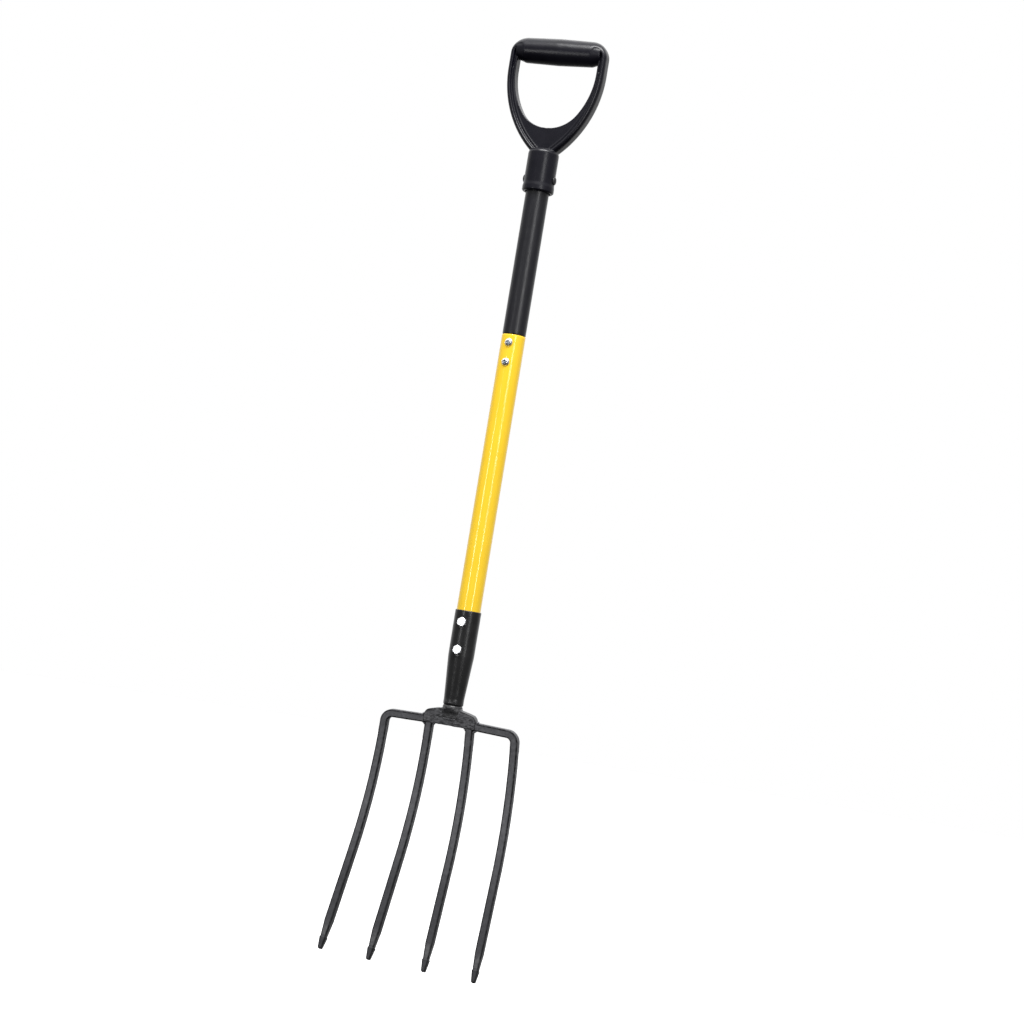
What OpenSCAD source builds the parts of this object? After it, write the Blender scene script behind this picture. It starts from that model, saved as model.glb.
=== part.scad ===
// Digging fork: four welded square-bar tines, a pressed steel socket, a tubular steel shaft
// in two lengths and a moulded D-grip.
// Millimetres. +Z runs up the shaft, the tines curve forward to -Y, and the origin is the
// middle of the underside of the hand bar, where the fork hangs.
// Heights called "height" are measured from the middle of the shoulder.

/* [Tines] */
// Side of the square bar that the tines are made from
bar = 9.4; // [8.5:0.1:9.6]
// Radius on the long edges of the bar
bar_edge_r = 1.2; // [0.6:0.1:2]
// Drop from the shoulder to the tips
tine_drop = 284; // [240:1:300]
// Distance of the outer tines from the middle, at the shoulder
outer_x = 82.2; // [70:0.1:90]
// Distance of the outer tines from the middle, at the tips
outer_tip_x = 96.2; // [84:0.1:110]
// Distance of the inner tines from the middle, at the shoulder
inner_x = 25.6; // [22:0.1:27]
// Distance of the inner tines from the middle, at the tips
inner_tip_x = 34.6; // [26:0.1:40]
// Backward lean of the tines where they leave the shoulder, in degrees
tine_lean = 7; // [0:0.5:10]
// Length of straight bar above the forward curve
tine_root = 16; // [15:0.5:25]
// Radius of the forward curve
curve_r = 360; // [300:5:500]
// Angle that the forward curve turns through, in degrees
curve_angle = 24.5; // [15:0.5:28]

/* [Tine points] */
// Length of the forged taper above the point
taper_l = 19; // [12:0.5:25]
// Width at the bottom of the taper
taper_w = 7; // [5:0.1:7.2]
// Length of the point
point_l = 15; // [10:0.5:20]
// Width of the point at its top
point_w = 8.2; // [7.2:0.1:8.4]
// Width of the blunt end of the point
point_end_w = 5; // [3:0.1:5.5]

/* [Shoulder] */
// Half of the width of the shoulder plate
plate_half_w = 33.5; // [31:0.5:40]
// Height of the crown of the shoulder plate
plate_top = 16; // [13:0.5:20]
// Thickness of the shoulder plate
plate_t = 10; // [9:0.5:12]
// Radius of the rounded ends of the shoulder plate
plate_corner_r = 11; // [8:0.5:12]
// Radius of the crowned top edge
plate_crown_r = 90; // [60:5:200]
// Droop of the arms from the plate out to the corners, in degrees
arm_droop = 1.5; // [0:0.5:4]
// Outer radius of the bend from an arm into an outer tine
corner_r = 15; // [13:0.5:20]

/* [Socket] */
// Outside diameter of the socket's mouth
socket_d = 31.2; // [30.6:0.1:34]
// Outside diameter of the socket's lower end
socket_end_d = 24.2; // [22:0.1:26]
// Height of the socket's mouth
socket_top = 132; // [126:1:150]
// Height where the taper starts
socket_taper_top = 78; // [74:1:80]
// Height where the taper ends
socket_taper_end = 27; // [25:1:40]
// Thickness of the pressed lower wall
socket_wall = 1.8; // [1.2:0.1:2.5]
// Heights of the two cross bolts
bolt_heights = [85, 118];
// Size across the flats of the bolt heads and nuts
bolt_af = 10; // [8:0.5:10]
// Diameter of the bolts
bolt_d = 6; // [5:0.5:6]

/* [Shaft] */
// Outside diameter of the lower tube
lower_d = 28.6; // [28:0.1:30]
// Wall of both tubes
tube_wall = 1.5; // [1:0.1:2]
// Height of the top of the lower tube
lower_top = 463; // [460:1:480]
// Outside diameter of the upper tube
upper_d = 28; // [27:0.1:28.5]
// Length of the reduced end of the upper tube, inside the lower one
spigot_l = 60; // [50:1:90]
// Heights of the two screws that join the tubes
screw_heights = [429.5, 453];
// Diameter of the screw heads
screw_head_d = 9.5; // [8:0.1:11]
// Diameter of the screws
screw_d = 4.8; // [4:0.1:5.5]

/* [D-grip] */
// Height of the hand bar's axis
bar_height = 809; // [805:1:820]
// Diameter of the hand bar at its middle
bar_mid_d = 32; // [28:0.5:35]
// Diameter of the hand bar at its ends
bar_end_d = 30; // [26:0.5:33]
// Outside width of the grip
grip_w = 121.5; // [118:0.5:128]
// Width of the hand opening
opening_w = 102; // [96:0.5:104]
// Height of the widest part of the arms
grip_wide_height = 785; // [775:1:790]
// Height of the lowest point of the hand opening
opening_low = 715; // [705:1:725]
// Radius of the outside of the arms
arm_outer_r = 132; // [126:1:140]
// Radius of the inside of the arms
arm_inner_r = 91.5; // [85:0.5:100]
// Depth of the arms, front to back
arm_depth = 20; // [16:0.5:24]
// Thickness of the web between the arms
web_t = 13; // [8:0.5:16]
// Outside diameter of the grip's neck
neck_d = 37; // [35:0.5:40]
// Height of the bottom of the neck
neck_low = 637; // [630:1:642]
// Height of the cross rivet
rivet_height = 653; // [650:1:660]

/* [Hidden] */
$fn = 64;

big = 400;                                   // longer than anything that is cut
lap = 0.2;                                   // how far one stretch of bar runs into the next
slim = 0.02;                                 // how much thinner every other stretch is, so they join cleanly
hang_height = bar_height - bar_mid_d / 2;    // underside of the hand bar

// Tines
curve_l_z = curve_r * (sin(tine_lean) + sin(curve_angle - tine_lean));
tail_l = (tine_drop - tine_root * cos(tine_lean) - curve_l_z) / cos(curve_angle - tine_lean);
tip_l = taper_l + point_l;
tine_reach = tine_root + curve_r * sin(curve_angle) + tail_l * cos(curve_angle);
outer_splay = atan((outer_tip_x - outer_x) / tine_reach);
inner_splay = atan((inner_tip_x - inner_x) / tine_reach);
point_step = 1.2;                            // height of the step from taper to point
point_chamfer = 1;                           // bevel round the blunt end

// Bend from an arm into an outer tine, in the plane of the shoulder
bend_r = corner_r - bar / 2;
bend_angle = 90 - arm_droop - outer_splay;
bend_tangent = bend_r * tan(bend_angle / 2);
bend_x = outer_x / (1 - tan(arm_droop) * tan(outer_splay));
bend_z = -bend_x * tan(arm_droop);
bend_centre_x = bend_x - bend_tangent * cos(arm_droop) - bend_r * sin(arm_droop);
bend_centre_z = bend_z + bend_tangent * sin(arm_droop) - bend_r * cos(arm_droop);
arm_l = bend_x / cos(arm_droop) - bend_tangent;
bend_end = -bend_z / cos(outer_splay) + bend_tangent;

// Shoulder and socket
tongue_w = 21;
tongue_t = 1.6;
tongue_low = 3.5;
tongue_r = 4;
socket_low = 15;
crimp_height = 19.2;
crimp_r = 1.3;
socket_bore_low = socket_taper_top - 1;
tube_clearance = 0.05;
seat_d = 13;
seat_depth = 0.5;
bolt_head_h = 4;
nut_h = 5;
bolt_hole_clearance = 0.1;
bolt_tip = 1.5;
mouth_d_drop = 0.4;                          // how much the socket narrows above its taper
socket_floor = 23;                           // bottom of the hollow inside the socket

// Weld beads, as width and height
root_weld = [2.4, 3];                        // inside the inner tines' roots
left_root_weld = [3, 3.4];
right_root_weld = [6, 6.4];
arm_weld = [3, 3.6];
foot_weld = [4, 4.2];
toe_weld_r = 1.5;
weld_depth = bar - 2 * bar_edge_r - 0.2;     // inside the flat of the bar

// Shaft
spigot_d = lower_d - 2 * tube_wall;
upper_tube_top = 684;
screw_head_h = 3.2;
screw_l = 13;
recess_w = 1.5;
recess_l = 4.6;
recess_depth = 1.6;

// D-grip
arm_w = (grip_w - opening_w) / 2;
arm_edge_r = 4;
corner_outer_r = 20;                         // outside bend from an arm into the hand bar
bar_foot_d = 22;                             // hand bar where it disappears into an arm
outer_cx = arm_outer_r - grip_w / 2;
inner_cx = arm_inner_r - opening_w / 2;
lip_h = 9;
lip_d = neck_d + 1.2;
mouth_d = upper_d + 2.4;
mouth_depth = 4;
neck_top = 689;
neck_edge = 4;                               // bevel round the top of the neck
arm_foot_x = 6;                              // where an arm's middle ends, inside the neck
web_inset = 3;                               // web's edge, inside the arms' outer edge
rivet_d = 5;
rivet_head_d = 10;
rivet_head_h = 2.2;

// Places a shape that is modelled from the middle of the shoulder
module from_shoulder() translate([0, 0, -hang_height]) children();

// The head is built straight, then leant back by the tines' lean
module leant() rotate([tine_lean, 0, 0]) children();

// Both mirror images of a shape
module both_sides() {
    children();
    mirror([1, 0, 0]) children();
}

// ---- tines ------------------------------------------------------------------------------

// Square with rounded corners, the section of the bar
module bar_section(side = bar, r = bar_edge_r) {
    square([side, side - 2 * r], center = true);
    square([side - 2 * r, side], center = true);
    for (x = [-1, 1], y = [-1, 1])
        translate([x * (side / 2 - r), y * (side / 2 - r)]) circle(r = r, $fn = 32);
}

// Straight bar hanging down from the origin
module bar_down(length, side = bar)
    translate([0, 0, -length]) linear_extrude(length) bar_section(side);

// The outline of the taper and point, the same from the front and from the side
tip_half = [
    [bar / 2, 0], [taper_w / 2, -taper_l], [point_w / 2, -taper_l - point_step],
    [point_end_w / 2, point_chamfer - tip_l], [point_end_w / 2 - point_chamfer, -tip_l]
];
tip_other_half = [for (i = [len(tip_half) - 1:-1:0]) [-tip_half[i].x, tip_half[i].y]];
tip_outline = concat(tip_half, tip_other_half);

module tine_tip() intersection() {
    bar_down(tip_l, bar - slim);
    rotate([90, 0, 0]) linear_extrude(2 * bar, center = true) polygon(tip_outline);
    rotate([90, 0, 90]) linear_extrude(2 * bar, center = true) polygon(tip_outline);
}

// One tine from a distance below the shoulder's middle line, curving forward in its own plane
module tine_blade(start) {
    translate([0, 0, lap - start]) bar_down(tine_root - start + 2 * lap);
    translate([0, 0, -tine_root]) {
        translate([0, -curve_r, 0])
            rotate([90, 0, 0]) rotate([0, 90, 0]) rotate([0, 0, -curve_angle])
                rotate_extrude(angle = curve_angle, $fn = 360)
                    translate([curve_r, 0]) bar_section(bar - slim);
        translate([0, curve_r * (cos(curve_angle) - 1), -curve_r * sin(curve_angle)])
            rotate([-curve_angle, 0, 0]) {
                translate([0, 0, lap]) bar_down(tail_l - tip_l + 2 * lap);
                translate([0, 0, tip_l - tail_l]) tine_tip();
            }
    }
}

module arm_bar() rotate([0, 90 + arm_droop, 0]) linear_extrude(arm_l + lap) bar_section();

module outer_tine() {
    difference() {
        arm_bar();
        cube([2 * plate_half_w, 2 * bar, 2 * bar], center = true);
    }
    translate([bend_centre_x, 0, bend_centre_z])
        rotate([90, 0, 0]) rotate([0, 0, outer_splay])
            rotate_extrude(angle = bend_angle, $fn = 96)
                translate([bend_r, 0]) bar_section(bar - slim);
    translate([outer_x, 0, 0]) rotate([0, -outer_splay, 0]) tine_blade(bend_end);
}

module placed_inner() translate([inner_x, 0, 0]) rotate([0, -inner_splay, 0]) children();

module inner_tine() difference() {
    placed_inner() tine_blade(0);
    translate([0, 0, bar / 2]) cube([big, 4 * bar, 2 * bar], center = true);
}

module outer_tine_right() color("#46464a") from_shoulder() leant() outer_tine();

module outer_tine_left() color("#46464a") from_shoulder() leant() mirror([1, 0, 0]) outer_tine();

module inner_tine_right() color("#46464a") from_shoulder() leant() inner_tine();

module inner_tine_left() color("#46464a") from_shoulder() leant() mirror([1, 0, 0]) inner_tine();

// ---- shoulder ---------------------------------------------------------------------------

module plate_outline() {
    corner_x = plate_half_w - plate_corner_r;
    corner_z = 2.4;
    intersection() {
        union() {
            translate([-plate_half_w, -bar / 2]) square([2 * plate_half_w, bar / 2 + corner_z]);
            translate([-corner_x, -bar / 2]) square([2 * corner_x, bar / 2 + plate_top + 1]);
            for (x = [-1, 1]) translate([x * corner_x, corner_z]) circle(r = plate_corner_r);
        }
        translate([0, plate_top - plate_crown_r]) circle(r = plate_crown_r, $fn = 180);
        translate([-big / 2, -bar / 2]) square(big);
    }
}

module plate_solid() rotate([90, 0, 0]) linear_extrude(plate_t, center = true) plate_outline();

module shoulder_plate() color("#46464a") from_shoulder() leant() plate_solid();

// Three-cornered bead that fills the inside corner at the origin
module fillet(size) rotate([90, 0, 0]) linear_extrude(weld_depth, center = true)
    polygon([[0, 0], [size.x, 0], [0, -size.y]]);

// Beads beside the roots of the inner tines, and on top of the arms where they meet the plate
module tine_welds() color("#333336") from_shoulder() leant() {
    outside = inner_x + bar / 2;
    difference() {
        union() {
            translate([outside, 0, -bar / 2]) fillet(right_root_weld);
            mirror([1, 0, 0]) translate([outside, 0, -bar / 2]) fillet(left_root_weld);
            both_sides() translate([outside - bar, 0, -bar / 2]) mirror([1, 0, 0]) fillet(root_weld);
        }
        both_sides() {
            placed_inner() bar_down(tine_root);
            arm_bar();
        }
        plate_solid();
    }
    both_sides() difference() {
        translate([plate_half_w, 0, bar / 2 - 2]) mirror([0, 0, 1]) fillet(arm_weld);
        arm_bar();
        plate_solid();
    }
}

// ---- socket -----------------------------------------------------------------------------

// Flattened end of the socket that lies on one face of the plate
module tongue() {
    straight_h = socket_low + 3 - tongue_low - tongue_r;
    rotate([90, 0, 0]) linear_extrude(tongue_t) {
        translate([-tongue_w / 2, tongue_low + tongue_r]) square([tongue_w, straight_h]);
        translate([tongue_r - tongue_w / 2, tongue_low]) square([tongue_w - 2 * tongue_r, tongue_r]);
        for (x = [-1, 1])
            translate([x * (tongue_w / 2 - tongue_r), tongue_low + tongue_r]) circle(r = tongue_r);
    }
}

module socket_body() {
    leant() {
        translate([0, -plate_t / 2, 0]) tongue();
        translate([0, plate_t / 2 + tongue_t, 0]) tongue();
    }
    translate([0, 0, socket_low]) cylinder(h = socket_taper_end - socket_low, d = socket_end_d);
    translate([0, 0, socket_taper_end])
        cylinder(h = socket_taper_top - socket_taper_end,
                 d1 = socket_end_d, d2 = socket_d - mouth_d_drop);
    translate([0, 0, socket_taper_top])
        cylinder(h = socket_top - socket_taper_top, d1 = socket_d - mouth_d_drop, d2 = socket_d);
}

module socket_hollow() {
    translate([0, 0, socket_floor])
        cylinder(h = socket_taper_end - socket_floor, d = socket_end_d - 2 * socket_wall);
    translate([0, 0, socket_taper_end])
        cylinder(h = socket_bore_low - socket_taper_end,
                 d1 = socket_end_d - 2 * socket_wall, d2 = lower_d - 2 * tube_wall);
    translate([0, 0, socket_bore_low])
        cylinder(h = socket_top - socket_bore_low + 1, d = lower_d + 2 * tube_clearance);
}

// A cylinder along Y through both walls, at the height of a fastener
module across(height, d, l)
    translate([0, 0, height]) rotate([90, 0, 0]) cylinder(h = l, d = d, center = true);

module socket() color("#2a2a2c") from_shoulder() difference() {
    socket_body();
    socket_hollow();
    leant() plate_solid();
    translate([0, 0, crimp_height]) rotate_extrude()
        translate([socket_end_d / 2 + 0.3, 0]) circle(r = crimp_r, $fn = 32);
    for (h = bolt_heights) {
        across(h, bolt_d + 2 * bolt_hole_clearance, 2 * socket_d);
        for (turn = [0, 180]) rotate([0, 0, turn])
            translate([0, seat_depth - socket_d / 2 - 2, h])
                rotate([90, 0, 0]) cylinder(h = 4, d = seat_d, center = true);
    }
}

module socket_bolts() color("#e4e6ea") from_shoulder() {
    face_y = socket_d / 2 - seat_depth;
    for (h = bolt_heights) translate([0, -face_y, h]) {
        rotate([90, 0, 0]) cylinder(h = bolt_head_h, d = bolt_af / cos(30), $fn = 6);
        rotate([-90, 0, 0]) cylinder(h = 2 * face_y + nut_h + bolt_tip, d = bolt_d);
    }
}

module socket_nuts() color("#e4e6ea") from_shoulder() {
    face_y = socket_d / 2 - seat_depth;
    for (h = bolt_heights) translate([0, face_y, h]) rotate([-90, 0, 0]) difference() {
        cylinder(h = nut_h, d = bolt_af / cos(30), $fn = 6);
        translate([0, 0, -1]) cylinder(h = nut_h + 2, d = bolt_d);
    }
}

// Beads where the socket's end meets the top of the plate and where its tongues end
module socket_welds() color("#333336") from_shoulder() difference() {
    union() {
        both_sides() translate([socket_end_d / 2 - 0.6, 0, plate_top - 1.4])
            mirror([0, 0, 1]) fillet(foot_weld);
        leant() for (y = [-1, 1])
            translate([0, y * plate_t / 2, tongue_low])
                rotate([0, 90, 0]) cylinder(h = tongue_w - 2 * tongue_r, r = toe_weld_r, center = true);
    }
    socket_body();
    leant() plate_solid();
}

// ---- shaft ------------------------------------------------------------------------------

// The holes of the two screws through the front walls of both tubes
module screw_holes() for (h = screw_heights)
    translate([0, -socket_d / 2, h]) rotate([90, 0, 0]) cylinder(h = socket_d, d = screw_d, center = true);

// The rivet's hole, across the neck and the tube in it
module rivet_hole() translate([0, 0, rivet_height])
    rotate([0, 90, 0]) cylinder(h = 2 * neck_d, d = rivet_d, center = true);

module lower_tube() color("#fbd53a") from_shoulder() difference() {
    translate([0, 0, socket_bore_low]) cylinder(h = lower_top - socket_bore_low, d = lower_d);
    translate([0, 0, socket_bore_low - 1])
        cylinder(h = lower_top - socket_bore_low + 2, d = lower_d - 2 * tube_wall);
    for (h = bolt_heights) across(h, bolt_d + 2 * bolt_hole_clearance, 2 * socket_d);
    screw_holes();
}

module upper_tube() color("#2b2b2e") from_shoulder() difference() {
    union() {
        translate([0, 0, lower_top]) cylinder(h = upper_tube_top - lower_top, d = upper_d);
        translate([0, 0, lower_top - spigot_l]) cylinder(h = spigot_l + 1, d = spigot_d);
    }
    translate([0, 0, lower_top]) cylinder(h = upper_tube_top, d = upper_d - 2 * tube_wall);
    translate([0, 0, lower_top - spigot_l - 1])
        cylinder(h = spigot_l + 2, d = spigot_d - 2 * tube_wall);
    screw_holes();
    rivet_hole();
}

// Domed head of a fastener, standing on the XY plane
module domed_head(h, d) {
    dome_r = (d * d / 4 + h * h) / (2 * h);
    intersection() {
        cylinder(h = h, d = d);
        translate([0, 0, h - dome_r]) sphere(r = dome_r);
    }
}

// Screws with domed heads and a cross recess, driven in from the front
module tube_screws() color("#c9ccd2") from_shoulder() for (h = screw_heights)
    translate([0, -lower_d / 2, h]) rotate([90, 0, 0]) {
        difference() {
            domed_head(screw_head_h, screw_head_d);
            for (turn = [0, 90]) rotate([0, 0, turn])
                translate([-recess_l / 2, -recess_w / 2, screw_head_h - recess_depth])
                    cube([recess_l, recess_w, 2 * recess_depth]);
        }
        translate([0, 0, -screw_l]) cylinder(h = screw_l, d = screw_d);
    }

// ---- D-grip -----------------------------------------------------------------------------

// The region inside two large circles whose centres lie across the middle line
module lens(centre_x, r) intersection() {
    translate([-centre_x, grip_wide_height]) circle(r = r, $fn = 180);
    translate([centre_x, grip_wide_height]) circle(r = r, $fn = 180);
}

// The hand opening: two large arcs meeting in a rounded bottom, up to the hand bar's axis
module opening_outline() {
    fall = grip_wide_height - opening_low;
    low_r = (pow(arm_inner_r, 2) - pow(inner_cx, 2) - pow(fall, 2)) / (2 * (arm_inner_r - fall));
    reach = arm_inner_r / (arm_inner_r - low_r);
    join_z = grip_wide_height - (fall - low_r) * reach;
    intersection() {
        lens(inner_cx, arm_inner_r);
        translate([-big / 2, join_z]) square([big, bar_height - join_z]);
    }
    translate([0, opening_low + low_r]) circle(r = low_r, $fn = 128);
}

// The web between the arms, below the hand opening
module web_outline() difference() {
    intersection() {
        lens(outer_cx, arm_outer_r - web_inset);
        translate([-big / 2, neck_top - 20]) square([big, bar_height - neck_top + 20]);
    }
    opening_outline();
}

// Rounded section of an arm, wide across and deep front to back
module arm_section(w = arm_w, depth = arm_depth) {
    square([w, depth - 2 * arm_edge_r], center = true);
    square([w - 2 * arm_edge_r, depth], center = true);
    for (x = [-1, 1], y = [-1, 1])
        translate([x * (w / 2 - arm_edge_r), y * (depth / 2 - arm_edge_r)])
            circle(r = arm_edge_r, $fn = 32);
}

module slim_arm_section() arm_section(arm_w - slim, arm_depth - slim);

// One arm: a long arc from the neck, a straight stretch, then a tight bend into the hand bar
module arm() {
    mid_r = arm_outer_r - arm_w / 2;
    sweep = acos((outer_cx + arm_foot_x) / mid_r);
    bend_x0 = grip_w / 2 - corner_outer_r;
    bend_z0 = bar_height + bar_end_d / 2 - corner_outer_r;
    translate([-outer_cx, 0, grip_wide_height]) rotate([90, 0, 0]) rotate([0, 0, -sweep])
        rotate_extrude(angle = sweep, $fn = 360) translate([mid_r, 0]) slim_arm_section();
    translate([mid_r - outer_cx, 0, grip_wide_height - lap])
        linear_extrude(bend_z0 - grip_wide_height + 2 * lap) arm_section();
    translate([bend_x0, 0, bend_z0]) rotate([90, 0, 0]) rotate_extrude(angle = 90, $fn = 128)
        translate([corner_outer_r - arm_w / 2, 0]) slim_arm_section();
}

// Barrel-shaped, with a short taper at each end that rounds the corner of the opening
module hand_bar() rotate([0, 90, 0]) {
    half = grip_w / 2 - corner_outer_r + 1;
    for (side = [0, 1]) mirror([0, 0, side]) {
        cylinder(h = half, d1 = bar_mid_d, d2 = bar_end_d);
        translate([0, 0, half]) cylinder(h = opening_w / 2 + 1 - half, d1 = bar_end_d, d2 = bar_foot_d);
    }
}

module d_grip() color("#29292d") from_shoulder() difference() {
    union() {
        both_sides() arm();
        rotate([90, 0, 0]) linear_extrude(web_t, center = true) web_outline();
        translate([0, 0, bar_height]) hand_bar();
        translate([0, 0, neck_low]) cylinder(h = neck_top - neck_edge - neck_low, d = neck_d);
        translate([0, 0, neck_top - neck_edge])
            cylinder(h = neck_edge, d1 = neck_d, d2 = neck_d - 2 * neck_edge);
        translate([0, 0, neck_low + 1.5]) cylinder(h = lip_h - 1.5, d = lip_d);
        translate([0, 0, neck_low]) cylinder(h = 1.5, d1 = lip_d - 3, d2 = lip_d);
    }
    translate([0, 0, neck_low - 1])
        cylinder(h = upper_tube_top - neck_low + 1, d = upper_d + 2 * tube_clearance);
    translate([0, 0, neck_low - 1]) cylinder(h = mouth_depth + 1, d = mouth_d);
    rivet_hole();
}

// One rivet right through the neck and the tube, with a low domed head at each end
module grip_rivet() color("#3a3a3e") from_shoulder() translate([0, 0, rivet_height]) {
    rotate([0, 90, 0]) cylinder(h = neck_d, d = rivet_d, center = true);
    both_sides() translate([neck_d / 2, 0, 0]) rotate([0, 90, 0])
        domed_head(rivet_head_h, rivet_head_d);
}

d_grip();
grip_rivet();
upper_tube();
lower_tube();
tube_screws();
socket();
socket_bolts();
socket_nuts();
shoulder_plate();
outer_tine_left();
outer_tine_right();
inner_tine_left();
inner_tine_right();
tine_welds();
socket_welds();
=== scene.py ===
"""Looks of a digging fork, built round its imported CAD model.

Every shape is worked out in millimetres, with its height measured from the middle of the shoulder,
as the CAD source does, and is put into the row frame in metres when it becomes a mesh.
"""
import math

import bmesh
import bpy
import numpy as np
from mathutils import Matrix, Vector, noise


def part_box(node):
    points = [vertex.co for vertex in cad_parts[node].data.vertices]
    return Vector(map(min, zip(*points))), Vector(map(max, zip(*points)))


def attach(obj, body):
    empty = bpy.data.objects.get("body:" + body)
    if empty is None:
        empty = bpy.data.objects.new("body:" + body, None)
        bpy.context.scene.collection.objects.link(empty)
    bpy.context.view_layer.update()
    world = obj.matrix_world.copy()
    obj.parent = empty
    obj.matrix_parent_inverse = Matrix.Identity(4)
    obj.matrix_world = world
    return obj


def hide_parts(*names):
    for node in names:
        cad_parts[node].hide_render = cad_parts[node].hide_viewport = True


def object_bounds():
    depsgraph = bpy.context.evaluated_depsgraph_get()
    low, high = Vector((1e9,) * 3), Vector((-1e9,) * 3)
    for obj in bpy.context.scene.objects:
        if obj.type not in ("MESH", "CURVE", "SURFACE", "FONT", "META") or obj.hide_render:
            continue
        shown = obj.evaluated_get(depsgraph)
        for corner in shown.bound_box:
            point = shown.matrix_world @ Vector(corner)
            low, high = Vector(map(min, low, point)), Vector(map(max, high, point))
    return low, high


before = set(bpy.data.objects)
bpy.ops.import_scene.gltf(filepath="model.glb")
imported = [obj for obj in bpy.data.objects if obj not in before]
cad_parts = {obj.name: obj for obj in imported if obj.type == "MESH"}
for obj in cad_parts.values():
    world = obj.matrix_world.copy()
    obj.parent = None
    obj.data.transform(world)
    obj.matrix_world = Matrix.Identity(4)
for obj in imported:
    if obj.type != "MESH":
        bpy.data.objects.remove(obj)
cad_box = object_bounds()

MM = 0.001
SOCKET_TOP = 132.0                                    # height of the socket's mouth
ORIGIN_HEIGHT = SOCKET_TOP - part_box("socket")[1].z / MM
noise.seed_set(7)


def box_mm(node):
    """A CAD node's lowest and highest corners, in millimetres and heights."""
    return [np.array(corner) / MM + (0, 0, ORIGIN_HEIGHT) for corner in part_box(node)]


# ---- sizes that the CAD source also has ---------------------------------------------------

BAR = 9.4
BAR_EDGE_R = 1.3
TINE_DROP = 284.0
OUTER_X, OUTER_TIP_X = 82.2, 96.2
INNER_X, INNER_TIP_X = 25.6, 34.6
LEAN = math.radians(7)
TINE_ROOT = 16.0
CURVE_R = 360.0
CURVE_ANGLE = math.radians(24.5)
CURVE_DROP = CURVE_R * (math.sin(LEAN) + math.sin(CURVE_ANGLE - LEAN))
TAIL_L = (TINE_DROP - TINE_ROOT * math.cos(LEAN) - CURVE_DROP) / math.cos(CURVE_ANGLE - LEAN)
TINE_REACH = TINE_ROOT + CURVE_R * math.sin(CURVE_ANGLE) + TAIL_L * math.cos(CURVE_ANGLE)
TAPER_L, TAPER_W = 19.0, 7.0
POINT_L, POINT_W, POINT_END_W, POINT_STEP = 15.0, 8.2, 5.0, 1.2
ARM_DROOP = math.radians(1.5)
CORNER_R = 15.0
PLATE_HALF_W, PLATE_TOP, PLATE_T = 33.5, 16.0, 10.0

SOCKET_R = (box_mm("socket")[1] - box_mm("socket")[0])[0] / 2
SOCKET_END_R = 12.1
SOCKET_TAPER_TOP, SOCKET_TAPER_END = 78.0, 27.0
SOCKET_LOW = 3.5
CRIMP_HEIGHT = 19.2
CRIMP_DEPTH = 1.0
TONGUE_HALF_W, TONGUE_T, TONGUE_R = 10.5, 1.6, 4.0
BOLT_HEIGHTS = (85.0, 118.0)
BOLT_AF, BOLT_D, BOLT_HEAD_H, NUT_H, BOLT_TIP = 10.0, 6.0, 4.0, 5.0, 1.5
SEAT_R, SEAT_DEPTH = 6.5, 0.5

LOWER_LO, LOWER_HI = box_mm("lower_tube")
LOWER_R = (LOWER_HI - LOWER_LO)[0] / 2
LOWER_TOP = LOWER_HI[2]
UPPER_LO, UPPER_HI = box_mm("upper_tube")
UPPER_R = (UPPER_HI - UPPER_LO)[0] / 2
TUBE_WALL = 1.5
SCREW_HEIGHTS = (429.5, 453.0)
SCREW_HEAD_D, SCREW_HEAD_H = 9.5, 3.2

GRIP_LO, GRIP_HI = box_mm("d_grip")
GRIP_W = (GRIP_HI - GRIP_LO)[0]
BAR_HEIGHT = 809.0
BAR_MID_R, BAR_END_R, BAR_FOOT_R = 16.0, 15.0, 11.0
OPENING_W = 102.0
ARM_W = (GRIP_W - OPENING_W) / 2
ARM_FOOT_X = 6.0
ARM_WIDE_HEIGHT = 785.0
OPENING_LOW = 715.0
ARM_OUTER_R, ARM_INNER_R = 132.0, 91.5
GRIP_CORNER_R = 20.0
WEB_T = 13.0
WEB_TOP = 786.0
NECK_R, LIP_R = 18.5, 19.1
NECK_LOW = GRIP_LO[2]
NECK_TOP = 689.0
NECK_EDGE_R = 6.0                                     # rounding of the neck's top
NECK_BORE_TOP = 684.0
RIVET_HEIGHT = 653.0
RIVET_HEAD_R, RIVET_HEAD_H = 5.0, 2.2


# ---- small helpers ------------------------------------------------------------------------

def to_row(points):
    """Points in millimetres and heights, as metres in the row frame."""
    return (np.asarray(points, float) - (0, 0, ORIGIN_HEIGHT)) * MM


def leant(points):
    """Leans the head's shapes back about the middle of the shoulder."""
    p = np.asarray(points, float)
    c, s = math.cos(LEAN), math.sin(LEAN)
    return np.stack([p[..., 0], c * p[..., 1] - s * p[..., 2], s * p[..., 1] + c * p[..., 2]], -1)


def mirrored(points):
    return np.asarray(points, float) * (-1, 1, 1)


def smoothstep(a, b, x):
    t = np.clip((np.asarray(x, float) - a) / (b - a), 0, 1)
    return t * t * (3 - 2 * t)


def lumps(points, size, seed=0.0):
    """Smooth noise from about -1 to 1 at each point, whose bumps are size millimetres apart."""
    flat = np.asarray(points, float).reshape(-1, 3) / size + seed
    values = [noise.noise(Vector(p)) for p in flat]
    return np.array(values).reshape(np.shape(points)[:-1]) * 1.6


def arc(centre, r, start, end, steps):
    """Points on a circle in a plane, from one angle in degrees to another."""
    a = np.radians(np.linspace(start, end, steps))
    return np.stack([centre[0] + r * np.cos(a), centre[1] + r * np.sin(a)], 1)


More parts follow.
